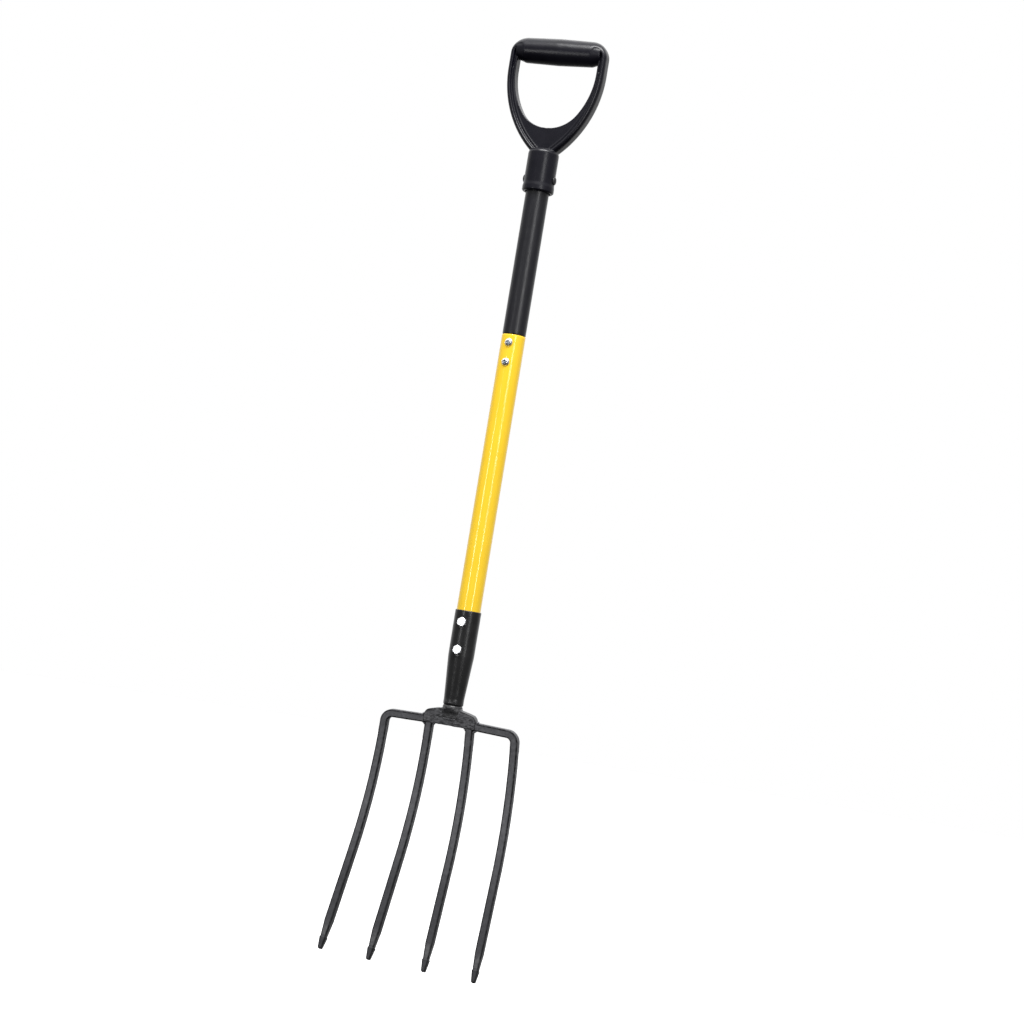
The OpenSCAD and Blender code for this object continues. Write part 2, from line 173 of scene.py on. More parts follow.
def skin(rings, loop=False):
    """Vertices and faces of the surface through rings of points. The ends are closed unless it is a loop."""
    rings = np.asarray(rings, float)
    count, around = rings.shape[:2]
    faces = []
    for i in range(count if loop else count - 1):
        j = (i + 1) % count
        for k in range(around):
            m = (k + 1) % around
            faces.append((i * around + k, i * around + m, j * around + m, j * around + k))
    if not loop:
        faces.append(tuple(range(around - 1, -1, -1)))
        faces.append(tuple((count - 1) * around + k for k in range(around)))
    return rings.reshape(-1, 3), faces


def turned(profile, around=96):
    """Rings about the upright axis from (radius, height) pairs."""
    a = np.linspace(0, 2 * math.pi, around, endpoint=False)
    return np.array([np.stack([r * np.cos(a), r * np.sin(a), np.full(around, h)], 1)
                     for r, h in profile])


def joined(*parts):
    """Several (vertices, faces) pairs as one."""
    verts, faces, base = [], [], 0
    for v, f in parts:
        verts.append(np.asarray(v, float))
        faces += [tuple(i + base for i in face) for face in f]
        base += len(v)
    return np.vstack(verts), faces


def outward(mesh):
    """Makes a mesh's faces point outward."""
    bm = bmesh.new()
    bm.from_mesh(mesh)
    bmesh.ops.recalc_face_normals(bm, faces=bm.faces)
    bm.to_mesh(mesh)
    bm.free()


def make_object(name, verts, faces, **layers):
    """A mesh object; each layer is one number per vertex, which a material can read by its name."""
    mesh = bpy.data.meshes.new(name)
    mesh.from_pydata([tuple(p) for p in to_row(verts)], [], faces)
    outward(mesh)
    for key, values in layers.items():
        layer = mesh.attributes.new(key, "FLOAT", "POINT")
        layer.data.foreach_set("value", np.ravel(values).astype(np.float32))
    obj = bpy.data.objects.new(name, mesh)
    bpy.context.scene.collection.objects.link(obj)
    return obj


def finish_mesh(obj, sharp_deg=35):
    """Smooth shading, with creases where faces meet at more than the given angle."""
    for polygon in obj.data.polygons:
        polygon.use_smooth = True
    obj.data.set_sharp_from_angle(angle=math.radians(sharp_deg))


def dress(obj, node, material):
    """Gives a piece its material, and puts it in place of a CAD node."""
    obj.data.materials.clear()
    obj.data.materials.append(material)
    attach(obj, "root")
    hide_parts(node)
    return obj


def apply_modifiers(obj):
    """Bakes a piece's modifiers into its mesh."""
    graph = bpy.context.evaluated_depsgraph_get()
    baked = bpy.data.meshes.new_from_object(obj.evaluated_get(graph))
    old = obj.data
    obj.modifiers.clear()
    obj.data = baked
    bpy.data.meshes.remove(old)


def remesh(obj, voxel_mm, smooth_rounds):
    """Fuses overlapping closed shells into one skin with softened edges."""
    fuse = obj.modifiers.new("fuse", "REMESH")
    fuse.mode = "VOXEL"
    fuse.voxel_size = voxel_mm * MM
    relax = obj.modifiers.new("relax", "SMOOTH")
    relax.factor = 0.5
    relax.iterations = smooth_rounds
    apply_modifiers(obj)


def push(obj, depth):
    """Moves each vertex along its normal by depth(points, normals), in millimetres."""
    mesh = obj.data
    count = len(mesh.vertices)
    co = np.zeros(count * 3)
    normal = np.zeros(count * 3)
    mesh.vertices.foreach_get("co", co)
    mesh.vertex_normals.foreach_get("vector", normal)
    co, normal = co.reshape(-1, 3), normal.reshape(-1, 3)
    heights = co / MM + (0, 0, ORIGIN_HEIGHT)
    co = co + normal * (depth(heights, normal) * MM)[:, None]
    mesh.vertices.foreach_set("co", co.ravel())
    mesh.update()


# ---- materials ----------------------------------------------------------------------------

class Shader:
    """A node material under construction. Positions are the piece's own, in millimetres."""

    def __init__(self, name):
        self.material = bpy.data.materials.new(name)
        self.material.use_nodes = True
        self.tree = self.material.node_tree
        self.bsdf = self.tree.nodes["Principled BSDF"]
        coords = self.node("ShaderNodeTexCoord")
        scale = self.node("ShaderNodeVectorMath", operation="SCALE")
        scale.inputs["Scale"].default_value = 1 / MM
        self.link(coords.outputs["Object"], scale.inputs[0])
        self.position = scale.outputs[0]

    def node(self, kind, **settings):
        made = self.tree.nodes.new(kind)
        for key, value in settings.items():
            setattr(made, key, value)
        return made

    def link(self, source, target):
        self.tree.links.new(source, target)

    def stretched(self, x, y, z):
        """The position with each axis stretched, so that a pattern runs along one of them."""
        mapping = self.node("ShaderNodeMapping")
        mapping.inputs["Scale"].default_value = (1 / x, 1 / y, 1 / z)
        self.link(self.position, mapping.inputs["Vector"])
        return mapping.outputs[0]

    def noise(self, size, detail=3.0, rough=0.55, vector=None, distortion=0.0):
        """Noise from 0 to 1 with features about size millimetres across."""
        made = self.node("ShaderNodeTexNoise")
        made.inputs["Scale"].default_value = 1 / size
        made.inputs["Detail"].default_value = detail
        made.inputs["Roughness"].default_value = rough
        made.inputs["Distortion"].default_value = distortion
        self.link(vector or self.position, made.inputs["Vector"])
        return made.outputs[0]

    def ramp(self, source, low, high, out_low=0.0, out_high=1.0):
        """Maps low..high to out_low..out_high, held at the ends."""
        made = self.node("ShaderNodeMapRange")
        made.inputs["From Min"].default_value = low
        made.inputs["From Max"].default_value = high
        made.inputs["To Min"].default_value = out_low
        made.inputs["To Max"].default_value = out_high
        self.link(source, made.inputs["Value"])
        return made.outputs["Result"]

    def math(self, operation, a, b):
        made = self.node("ShaderNodeMath", operation=operation)
        for socket, value in zip(made.inputs, (a, b)):
            if isinstance(value, (int, float)):
                socket.default_value = value
            else:
                self.link(value, socket)
        return made.outputs[0]

    def mix(self, factor, a, b):
        """Colour a where factor is 0 and b where it is 1."""
        made = self.node("ShaderNodeMix", data_type="RGBA")
        self.link(factor, made.inputs[0])
        for socket, value in ((made.inputs[6], a), (made.inputs[7], b)):
            if isinstance(value, tuple):
                socket.default_value = (*value, 1)
            else:
                self.link(value, socket)
        return made.outputs[2]

    def layer(self, name):
        """A number that the mesh carries at each vertex."""
        return self.node("ShaderNodeAttribute", attribute_name=name).outputs["Fac"]

    def edge_shade_mask(self, low, high):
        """0 on flat stretches and 1 on outer edges, from how sharply the surface bends; the mask for painted
        edge shade.
        """
        geometry = self.node("ShaderNodeNewGeometry")
        return self.ramp(geometry.outputs["Pointiness"], low, high)

    def set(self, color=None, rough=None, **inputs):
        if color is not None:
            if isinstance(color, tuple):
                self.bsdf.inputs["Base Color"].default_value = (*color, 1)
            else:
                self.link(color, self.bsdf.inputs["Base Color"])
        if rough is not None:
            if isinstance(rough, (int, float)):
                self.bsdf.inputs["Roughness"].default_value = rough
            else:
                self.link(rough, self.bsdf.inputs["Roughness"])
        for key, value in inputs.items():
            self.bsdf.inputs[key.replace("_", " ")].default_value = value
        return self

    def bump(self, *layers):
        """Stacks bumps: each layer is a height from 0 to 1 and its depth in millimetres."""
        previous = None
        for source, depth in layers:
            made = self.node("ShaderNodeBump")
            made.inputs["Strength"].default_value = 1.0
            made.inputs["Distance"].default_value = depth * MM
            self.link(source, made.inputs["Height"])
            if previous is not None:
                self.link(previous, made.inputs["Normal"])
            previous = made.outputs[0]
        self.link(previous, self.bsdf.inputs["Normal"])
        return self


def grip_plastic():
    """Moulded black plastic: even, faintly pebbled, with lighter rubbed streaks that are partly wear and
    partly painted sheen for polish where hands rub it.
    """
    s = Shader("grip_plastic")
    drift = s.noise(26)
    pebble = s.noise(0.7, detail=2)
    # lighter streaks along the bar: rub wear, and painted sheen standing in for polish
    scuff_and_sheen = s.ramp(s.noise(3, detail=5, vector=s.stretched(6, 1, 1)), 0.62, 0.75)
    color = s.mix(s.ramp(drift, 0.35, 0.65), (0.0026, 0.0025, 0.0056), (0.0042, 0.0040, 0.0080))
    s.set(s.mix(scuff_and_sheen, color, (0.0075, 0.0074, 0.0115)), s.ramp(drift, 0.3, 0.7, 0.27, 0.34))
    s.bump((pebble, 0.010), (s.noise(9, detail=1), 0.10))
    s.bsdf.inputs["Specular IOR Level"].default_value = 0.33
    return s.material


def black_tube():
    """Black powder coat on the upper tube, with fine orange peel and rubbed streaks."""
    s = Shader("black_tube")
    peel = s.noise(1.6, detail=2)
    streak = s.noise(1.2, detail=4, vector=s.stretched(1, 1, 40))
    color = s.mix(s.ramp(streak, 0.45, 0.75), (0.0028, 0.0028, 0.0056), (0.0054, 0.0054, 0.0086))
    s.set(color, s.ramp(s.noise(14), 0.3, 0.7, 0.33, 0.40))
    s.bump((peel, 0.02), (s.noise(30, detail=1), 0.10))
    return s.material


def yellow_tube():
    """Glossy yellow powder coat: orange peel, a few dull rubs, dust and fine nicks."""
    s = Shader("yellow_tube")
    peel = s.noise(2.2, detail=1)
    tone = s.noise(40, detail=2)
    rub = s.ramp(s.noise(7, detail=5, vector=s.stretched(1, 1, 9)), 0.60, 0.72)
    nick = s.ramp(s.noise(1.1, detail=1, vector=s.stretched(1, 1, 3)), 0.80, 0.83)
    color = s.mix(s.ramp(tone, 0.3, 0.7), (0.850, 0.548, 0.022), (0.880, 0.576, 0.028))
    color = s.mix(s.math("MULTIPLY", rub, 0.25), color, (0.80, 0.52, 0.05))
    color = s.mix(s.math("MULTIPLY", nick, 0.6), color, (0.42, 0.26, 0.03))
    s.set(color, s.ramp(rub, 0, 1, 0.13, 0.24))
    s.bump((peel, 0.012), (s.noise(26, detail=1), 0.05))
    return s.material


def socket_black():
    """Satin black paint over pressed steel, bare grey on the flattened foot and where it was tacked."""
    s = Shader("socket_black")
    grain = s.noise(1.2, detail=3)
    cloud = s.noise(16, detail=4, distortion=0.4)
    scale = s.noise(2.4, detail=6, rough=0.65, distortion=0.8)
    paint = s.mix(s.ramp(cloud, 0.35, 0.7), (0.0055, 0.0055, 0.0058), (0.0095, 0.0095, 0.0100))
    steel = s.mix(s.ramp(scale, 0.36, 0.62), (0.016, 0.016, 0.017), (0.070, 0.070, 0.073))
    bare = s.layer("bare")
    rough = s.math("ADD", s.ramp(cloud, 0.3, 0.7, 0.27, 0.34), s.math("MULTIPLY", bare, 0.15))
    s.set(s.mix(bare, paint, steel), rough)
    s.bump((grain, 0.03), (s.noise(11, detail=2), 0.18))
    s.bsdf.inputs["Specular IOR Level"].default_value = 0.42
    return s.material


def grey_steel(name, dark, light, sheen=0.42, blotch=6.0, dent=0.5, outline=0.0):
    """Grey over scaly hot-worked steel: streaks, dark hollows, and painted shade along its outer edges."""
    s = Shader(name)
    scale = s.noise(blotch, detail=6, rough=0.62, distortion=0.6)
    streak = s.noise(blotch * 0.6, detail=5, vector=s.stretched(2.6, 1, 1), distortion=0.5)
    fine = s.noise(0.9, detail=4)
    color = s.mix(s.ramp(scale, 0.32, 0.68), dark, light)
    hollow = s.ramp(streak, 0.40, 0.50, 0.92, 0)
    color = s.mix(hollow, color, tuple(0.3 * c for c in dark))
    # painted shade: outer edges darkened nearly to black by the given share of outline, standing in for
    # shade on the rounded edges
    edge = s.math("MULTIPLY", s.edge_shade_mask(0.503, 0.518), outline)
    color = s.mix(edge, color, (0.008, 0.008, 0.009))
    s.set(color, s.ramp(scale, 0.3, 0.7, sheen, sheen + 0.16))
    s.bump((fine, 0.06), (s.noise(blotch * 0.7, detail=3), dent))
    s.bsdf.inputs["Specular IOR Level"].default_value = 0.4
    return s.material


# the tines' colours, from dark to light, high up and near the points, where the darker ones are painted
# shade for the bend away from the light
TINE_HIGH_DARK, TINE_HIGH_LIGHT = (0.058, 0.058, 0.063), (0.098, 0.098, 0.105)
TINE_SHADED_LOW_DARK, TINE_SHADED_LOW_LIGHT = (0.024, 0.024, 0.027), (0.040, 0.040, 0.044)
# where the bar is rubbed, where it is bare above the point, and the painted shade on its corners
TINE_RUBBED, TINE_BARE, TINE_EDGE_SHADE = (0.115, 0.115, 0.120), (0.085, 0.085, 0.088), (0.005, 0.005, 0.006)


def tine_grey():
    """Drawn bar with painted shade along its corners and towards its points, rubbed grey on its faces and
    bare above the point.
    """
    s = Shader("tine_grey")
    scale = s.noise(5, detail=6, rough=0.62, distortion=0.6)
    drawn = s.noise(1.6, detail=4, vector=s.stretched(1, 1, 16))
    mottle = s.ramp(scale, 0.32, 0.68)
    to_end = s.layer("to_end")
    # painted shade: the tines darken towards their points, where they bend down away from the light
    high = s.ramp(to_end, 95, 185)
    shaded_low_color = s.mix(mottle, TINE_SHADED_LOW_DARK, TINE_SHADED_LOW_LIGHT)
    high_color = s.mix(mottle, TINE_HIGH_DARK, TINE_HIGH_LIGHT)
    color = s.mix(high, shaded_low_color, high_color)
    rub_share = s.math("ADD", s.math("MULTIPLY", high, 0.8), 0.2)
    rubbed = s.math("MULTIPLY", s.ramp(drawn, 0.55, 0.72, 0, 0.5), rub_share)
    color = s.mix(rubbed, color, TINE_RUBBED)
    band = s.math("MULTIPLY", s.ramp(to_end, 15.2, 17.5), s.ramp(to_end, 26, 36, 1, 0))
    band = s.math("MULTIPLY", band, s.ramp(scale, 0.35, 0.6, 0.3, 1.0))
    color = s.mix(band, color, TINE_BARE)
    # painted shade: the bar's rounded corners go nearly black in patches, standing in for the shade on them
    corner = s.math("MULTIPLY", s.layer("edge"), s.ramp(s.noise(4, detail=4), 0.35, 0.55, 0.6, 1.0))
    color = s.mix(corner, color, TINE_EDGE_SHADE)
    s.set(color, s.math("ADD", s.ramp(scale, 0.3, 0.7, 0.48, 0.60), s.math("MULTIPLY", corner, 0.3)))
    s.bump((s.noise(0.9, detail=4), 0.05), (s.noise(3.5, detail=3), 0.2))
    s.bsdf.inputs["Specular IOR Level"].default_value = 0.2
    return s.material



def zinc(name, tint, rough, recess_shade=None):
    """Bright zinc: nearly white metal with a faint grain and grey in its pores, with painted shade in a
    recess.
    """
    s = Shader(name)
    grain = s.noise(0.5, detail=3)
    stain = s.noise(3.5, detail=4)
    color = s.mix(s.ramp(stain, 0.42, 0.72), tint, tuple(0.72 * c for c in tint))
    # painted shade: the recess layer darkens the metal to a blue-grey inside the recess
    if recess_shade:
        color = s.mix(s.layer("recess"), color, recess_shade)
    s.set(color, s.ramp(grain, 0.3, 0.7, rough, rough + 0.12), Metallic=1.0)
    s.bump((grain, 0.015), (s.noise(2.2, detail=2), 0.03))
    return s.material


# ---- tubes --------------------------------------------------------------------------------

def tube_profile(r, wall, low, high, lip):
    """(radius, height) pairs round a tube's wall, its two ends rounded by lip."""
    inner = r - wall
    top = arc((r - lip, high - lip), lip, 0, 90, 5)
    top_inner = arc((inner + lip, high - lip), lip, 90, 180, 5)
    low_inner = arc((inner + lip, low + lip), lip, 180, 270, 5)
    low_outer = arc((r - lip, low + lip), lip, 270, 360, 5)
    up = [(r, h) for h in np.linspace(low + 3, high - 3, int((high - low) / 6))]
    down = [(inner, h) for h in np.linspace(high - 3, low + 3, 12)]
    return [*up, *top, *top_inner, *down, *low_inner, *low_outer]


def dimpled(rings, heights, radius, depth, reach):
    """Presses a shallow round dish into the front of a tube at each height."""
    x, y, h = rings[..., 0], rings[..., 1], rings[..., 2]
    outer = np.hypot(x, y) > radius - 0.9
    for height in heights:
        away = np.hypot(x, h - height)
        sink = depth * (1 - smoothstep(0.35 * reach, reach, away)) * (y < 0) * outer
        y = y + sink
    return np.stack([x, y, h], -1)


def build_lower_tube():
    """The lower tube, with extra rings round the screws for the dishes that they are drawn into."""
    profile = tube_profile(LOWER_R, TUBE_WALL, LOWER_LO[2], LOWER_TOP, 0.6)
    near = [h for middle in SCREW_HEIGHTS for h in np.arange(middle - 8, middle + 8.1, 0.8)]
    outside = sorted({round(h, 2) for r, h in profile if r > LOWER_R - 0.01} | {round(h, 2) for h in near})
    outside = [(LOWER_R, h) for h in outside if LOWER_LO[2] + 2 < h < LOWER_TOP - 0.7]
    rest = [p for p in profile if p[0] <= LOWER_R - 0.01]
    rings = turned([*outside, *rest], around=128)
    rings = dimpled(rings, SCREW_HEIGHTS, LOWER_R, 0.25, 7.5)
    obj = make_object("lower_tube_painted", *skin(rings, loop=True))
    finish_mesh(obj)
    return dress(obj, "lower_tube", yellow_tube())


def build_upper_tube():
    """The upper tube, with the shoulder where its end is swaged down to fit inside the lower one."""
    spigot_r = LOWER_R - TUBE_WALL
    low, high = UPPER_LO[2], UPPER_HI[2]
    shoulder = [(spigot_r, low + 0.5), (spigot_r, LOWER_TOP - 0.4), (spigot_r, LOWER_TOP + 0.35)]
    shoulder += list(arc((UPPER_R - 1.4, LOWER_TOP + 1.75), 1.4, -80, 0, 7))
    outside = [(UPPER_R, h) for h in np.linspace(LOWER_TOP + 3.5, high - 1, 40)]
    inner_r = UPPER_R - TUBE_WALL
    inside = [(UPPER_R - 0.5, high), (inner_r + 0.4, high), (inner_r, high - 1), (inner_r, LOWER_TOP + 3),
              (spigot_r - TUBE_WALL, LOWER_TOP - 1), (spigot_r - TUBE_WALL, low), (spigot_r - 0.5, low)]
    rings = turned([*shoulder, *outside, *inside], around=128)
    obj = make_object("upper_tube_painted", *skin(rings, loop=True))
    finish_mesh(obj)
    return dress(obj, "upper_tube", black_tube())


# ---- fasteners ----------------------------------------------------------------------------

def facing(points, centre, forward):
    """Turns a shape that stands on +Z so that it faces forward or backward along Y at centre."""
    p = np.asarray(points, float)
    sign = -1 if forward else 1
    return np.stack([p[..., 0] * -sign, sign * p[..., 2], p[..., 1]], -1) + centre


def hexagon_radius(a, across_flats):
    """Radius of a hexagon with its corners upright, at angle a."""
    turn = (a - math.pi / 6) % (math.pi / 3) - math.pi / 6
    return across_flats / 2 / np.cos(turn)


def hex_rings(across_flats, h, both_ends, around=144):
    """Rings of a hexagon whose corners are chamfered by a cone at its top, or at both ends."""
    a = np.linspace(0, 2 * math.pi, around, endpoint=False)
    flat = across_flats / 2
    corner = flat / math.cos(math.pi / 6)
    slope = math.tan(math.radians(30))
    rings = []
    for z in np.concatenate([np.linspace(0, 0.8, 7), [h / 2], h - np.linspace(0.8, 0, 7)]):
        cone = 0.94 * flat + (h - z) / slope * 0.9 + 0.05
        if both_ends:
            cone = min(cone, 0.94 * flat + z / slope * 0.9 + 0.05)
        r = np.minimum(hexagon_radius(a, across_flats), min(cone, corner))
        rings.append(np.stack([r * np.cos(a), r * np.sin(a), np.full(around, z)], 1))
    return rings


def disc_rings(r, z, steps, around=144):
    """Rings that close a flat round face from radius r in to its middle."""
    a = np.linspace(0, 2 * math.pi, around, endpoint=False)
    return [np.stack([k * r * np.cos(a), k * r * np.sin(a), np.full(around, z)], 1)
            for k in np.linspace(0.96, 0.03, steps)]


def threaded(r, low, high, pitch=1.0, around=144):
    """Rings of a threaded end, a helix of shallow grooves, with a bevel at its tip."""
    a = np.linspace(0, 2 * math.pi, around, endpoint=False)
    rings = []
    for z in np.arange(low, high + 1e-6, pitch / 6):
        wave = np.abs(((z / pitch - a / (2 * math.pi)) % 1.0) - 0.5) * 2
        rr = r - 0.32 * wave - max(0.0, z - high + 0.5) * 0.9
        rings.append(np.stack([rr * np.cos(a), rr * np.sin(a), np.full(around, z)], 1))
    return rings


def build_bolts():
    """Chamfered hexagon heads in front and threaded shanks that come out through the nuts behind."""
    face_y = SOCKET_R - SEAT_DEPTH
    tip = 2 * face_y + NUT_H + BOLT_TIP
    parts = []
    for height in BOLT_HEIGHTS:
        head = hex_rings(BOLT_AF, BOLT_HEAD_H, False)
        head += disc_rings(0.93 * BOLT_AF / 2, BOLT_HEAD_H, 8)
        parts.append(skin(facing(head, (0, -face_y, height), True)))
        shank = list(turned([(0.1, 0.0), (BOLT_D / 2, 0.0), (BOLT_D / 2, 2 * face_y - 1)], 144))
        shank += threaded(BOLT_D / 2, 2 * face_y - 0.8, tip)
        shank += disc_rings(BOLT_D / 2 - 0.8, tip, 4)
        parts.append(skin(facing(shank, (0, -face_y, height), False)))
    obj = make_object("socket_bolts_zinc", *joined(*parts))
    finish_mesh(obj, 28)
    return dress(obj, "socket_bolts", zinc("bolt_zinc", (0.84, 0.85, 0.87), 0.30))


def build_nuts():
    """Hexagon nuts whose bores flare at both ends."""
    face_y = SOCKET_R - SEAT_DEPTH
    bore_r = BOLT_D / 2 + 0.02
    levels = (0, 0.3, 0.6, 2.5, NUT_H - 0.6, NUT_H - 0.3, NUT_H)
    bore = [(bore_r + 0.5 * max(0, 1 - min(z, NUT_H - z) / 0.6), NUT_H - z) for z in levels]
    parts = []
    for height in BOLT_HEIGHTS:
        outer = hex_rings(BOLT_AF, NUT_H, True)
        rings = np.concatenate([np.array(outer), turned(bore, 144)])
        parts.append(skin(facing(rings, (0, face_y, height), False), loop=True))
    obj = make_object("socket_nuts_zinc", *joined(*parts))
    finish_mesh(obj, 28)
    return dress(obj, "socket_nuts", bpy.data.materials["bolt_zinc"])


def build_screws():
    """Domed heads with a cross recess whose walls slope in, over plain shanks."""
    around, parts, recess = 160, [], []
    a = np.linspace(0, 2 * math.pi, around, endpoint=False)
    r_max, h_max = SCREW_HEAD_D / 2, SCREW_HEAD_H
    ball = (r_max ** 2 + h_max ** 2) / (2 * h_max)
    for height in SCREW_HEIGHTS:
        rings = list(turned([(2.3, -13.0), (2.3, -0.6), (r_max - 0.3, 0.0)], around))
        recess += [np.zeros(around)] * len(rings)
        for k in np.concatenate([[1.0, 0.995, 0.985], np.linspace(0.96, 0.015, 46)]):
            r = r_max * k
            x, y = r * np.cos(a), r * np.sin(a)
            z = math.sqrt(ball ** 2 - r ** 2) - (ball - h_max)
            arm_x = (1 - smoothstep(0.55, 1.0, np.abs(y))) * (1 - smoothstep(2.2, 2.8, np.abs(x)))
            arm_y = (1 - smoothstep(0.55, 1.0, np.abs(x))) * (1 - smoothstep(2.2, 2.8, np.abs(y)))
            core = 1 - smoothstep(1.2, 2.0, np.hypot(x, y))
            sunk = np.maximum(np.maximum(arm_x, arm_y), core)
            z = np.maximum(0.25, z - 1.7 * sunk)
            recess.append(sunk)
            rings.append(np.stack([x, y, np.broadcast_to(z, x.shape)], 1))
        parts.append(skin(facing(rings, (0, -LOWER_R, height), True)))
    obj = make_object("tube_screws_zinc", *joined(*parts), recess=recess)
    finish_mesh(obj, 50)
    # the cross recess gets painted shade in blue-grey
    steel = zinc("screw_zinc", (0.90, 0.91, 0.93), 0.26, recess_shade=(0.26, 0.31, 0.38))
    return dress(obj, "tube_screws", steel)


def build_rivet():
    """Two domed heads with a thin brim, on a plain shank."""
    dome = [(RIVET_HEAD_R, 0.0), (RIVET_HEAD_R, 0.25)]
    dome += [(RIVET_HEAD_R * math.cos(t), 0.25 + (RIVET_HEAD_H - 0.25) * math.sin(t))
             for t in np.linspace(0.12, 1.54, 16)]
    rings = turned([(2.5, -NECK_R), (2.5, -0.1), *dome], 96)
    side = np.stack([rings[..., 2] + NECK_R, rings[..., 1], rings[..., 0] + RIVET_HEIGHT], -1)
    obj = make_object("grip_rivet_steel", *joined(skin(side), skin(mirrored(side))))
    finish_mesh(obj, 40)
    steel = grey_steel("rivet_steel", (0.018, 0.018, 0.020), (0.032, 0.032, 0.034), blotch=2.5, dent=0.05)
    return dress(obj, "grip_rivet", steel)


# ---- socket -------------------------------------------------------------------------------

def socket_radius(h):
    if h >= SOCKET_TAPER_TOP:
        return SOCKET_R - 0.2 * (SOCKET_TOP - h) / (SOCKET_TOP - SOCKET_TAPER_TOP)
    t = max(0.0, (h - SOCKET_TAPER_END) / (SOCKET_TAPER_TOP - SOCKET_TAPER_END))
    return SOCKET_END_R + (SOCKET_R - 0.2 - SOCKET_END_R) * t


def socket_ring(h, inset=0.0, around=160):
    """One ring round the socket: round in the barrel, pressed flat where it laps the plate."""
    a = np.linspace(0, 2 * math.pi, around, endpoint=False)
    flat = 1 - float(smoothstep(8.5, 16.5, h))
    corner = max(0.0, TONGUE_R - (h - SOCKET_LOW))
    tongue_half_w = TONGUE_HALF_W - TONGUE_R + math.sqrt(TONGUE_R ** 2 - corner ** 2)
    half_w = socket_radius(h) * (1 - flat) + tongue_half_w * flat
    half_d = socket_radius(h) * (1 - flat) + (PLATE_T / 2 + TONGUE_T) * flat
    power = 2 + 3 * flat
    c, s = np.cos(a), np.sin(a)
    r = (np.abs(c / half_w) ** power + np.abs(s / half_d) ** power) ** (-1 / power)
    r = r - CRIMP_DEPTH * math.exp(-((h - CRIMP_HEIGHT) / 0.9) ** 2) - inset
    ring = np.stack([r * c, r * s, np.full(around, h)], 1)
    ring[:, 1] -= h * flat * math.tan(LEAN)
    return ring


def weld_spots(rings):
    """0 to 1 where the socket's foot was tacked, above and across the crimp, front and back."""
    x, y, h = rings[..., 0], rings[..., 1], rings[..., 2]
    x = x * np.sign(-y)
    spots = ((-5.4, 24.2, 2.6, 1.5), (5.6, 24.4, 1.9, 1.4), (-1.2, 22.2, 4.4, 0.9), (0.5, 16.2, 6.0, 0.8))
    total = sum(np.exp(-((x - cx) / w) ** 2 - ((h - ch) / t) ** 2) for cx, ch, w, t in spots)
    return np.clip(total * (0.75 + 0.5 * lumps(rings, 1.5, 3.0)), 0, 1)


def build_socket():
    """The pressed socket: a round barrel and taper, crimped and flattened into a tongue at its foot."""
    heights = np.concatenate([np.arange(SOCKET_LOW + 0.8, 30, 0.4), np.arange(30, SOCKET_TOP - 1.2, 1.0)])
    rings = [socket_ring(SOCKET_LOW, 4.0), socket_ring(SOCKET_LOW, 1.2), socket_ring(SOCKET_LOW + 0.3, 0.4)]
    rings += [socket_ring(h) for h in heights]
    mouth = [(0.0, 1.1), (0.12, 0.6), (0.35, 0.25), (0.6, 0.08)]
    rings += [socket_ring(SOCKET_TOP - down, inset) for inset, down in mouth]
    bore = LOWER_R + 0.15
    inside = [(bore + 0.35, SOCKET_TOP - 0.02), (bore, SOCKET_TOP - 0.6), (bore, SOCKET_TOP - 12)]
    rings += list(turned(inside, 160))
    rings = np.array(rings)
    # flat seats under the bolts and nuts, with the metal drawn in a little round them
    x, y, h = rings[..., 0], rings[..., 1], rings[..., 2]
    face = SOCKET_R - SEAT_DEPTH
    outer = np.hypot(x, y) > LOWER_R + 0.5
    for height in BOLT_HEIGHTS:
        near = 1 - smoothstep(SEAT_R - 1.2, SEAT_R + 0.6, np.hypot(x, h - height))
        y = np.where(outer, np.sign(y) * (np.abs(y) - near * np.maximum(0, np.abs(y) - face)), y)
    rings = np.stack([x, y, h], -1)
    foot = 1 - smoothstep(15.5, 20.0, h)
    radial = rings * (1, 1, 0)
    radial = radial / np.maximum(1e-6, np.linalg.norm(radial, axis=-1, keepdims=True))
    rough = (lumps(rings, 3.2) - 1) * 0.16 + (lumps(rings, 1.4, 9.0) - 1) * 0.08
    waver = (lumps(rings, 22.0, 4.0) - 1) * 0.05 + (lumps(rings, 6.0, 8.0) - 1) * 0.025
    spots = weld_spots(rings)
    rings = rings + radial * (rough * foot + waver * (1 - foot) + 0.45 * spots)[..., None]
    obj = make_object("socket_pressed", *skin(rings), bare=np.clip(spots + foot, 0, 1))
    finish_mesh(obj, 50)
    return dress(obj, "socket", socket_black())


# ---- tines --------------------------------------------------------------------------------

def bar_ring(centre, across, deep, half, edge_r):
    """A square with rounded corners about centre, spanned by the unit vectors across and deep."""
    flat = half - edge_r
    near = min(0.9, 0.5 * flat)
    ring = []
    for quarter in range(4):
        turn = math.pi / 2 * quarter
        along = np.array([math.cos(turn), math.sin(turn)])
        left = np.array([-along[1], along[0]])
        for t in np.linspace(0, math.pi / 2, 6):
            ring.append(flat * (along + left) + edge_r * (math.cos(t) * along + math.sin(t) * left))
        for v in (flat - near, 0.35 * flat, -0.35 * flat, near - flat):
            ring.append(v * along + half * left)
    return [centre + u * across + v * deep for u, v in ring]


BAR_RING_EDGES = ([1.0] * 6 + [0.0] * 4) * 4


def tine_halves():
    """Half the tine's width against the distance back from its end, as in the CAD source."""
    back = [0.0, 1.0, POINT_L - POINT_STEP, POINT_L, TAPER_L + POINT_L, 1e4]
    half = [POINT_END_W / 2 - 1, POINT_END_W / 2, POINT_W / 2, TAPER_W / 2, BAR / 2, BAR / 2]
    return back, half


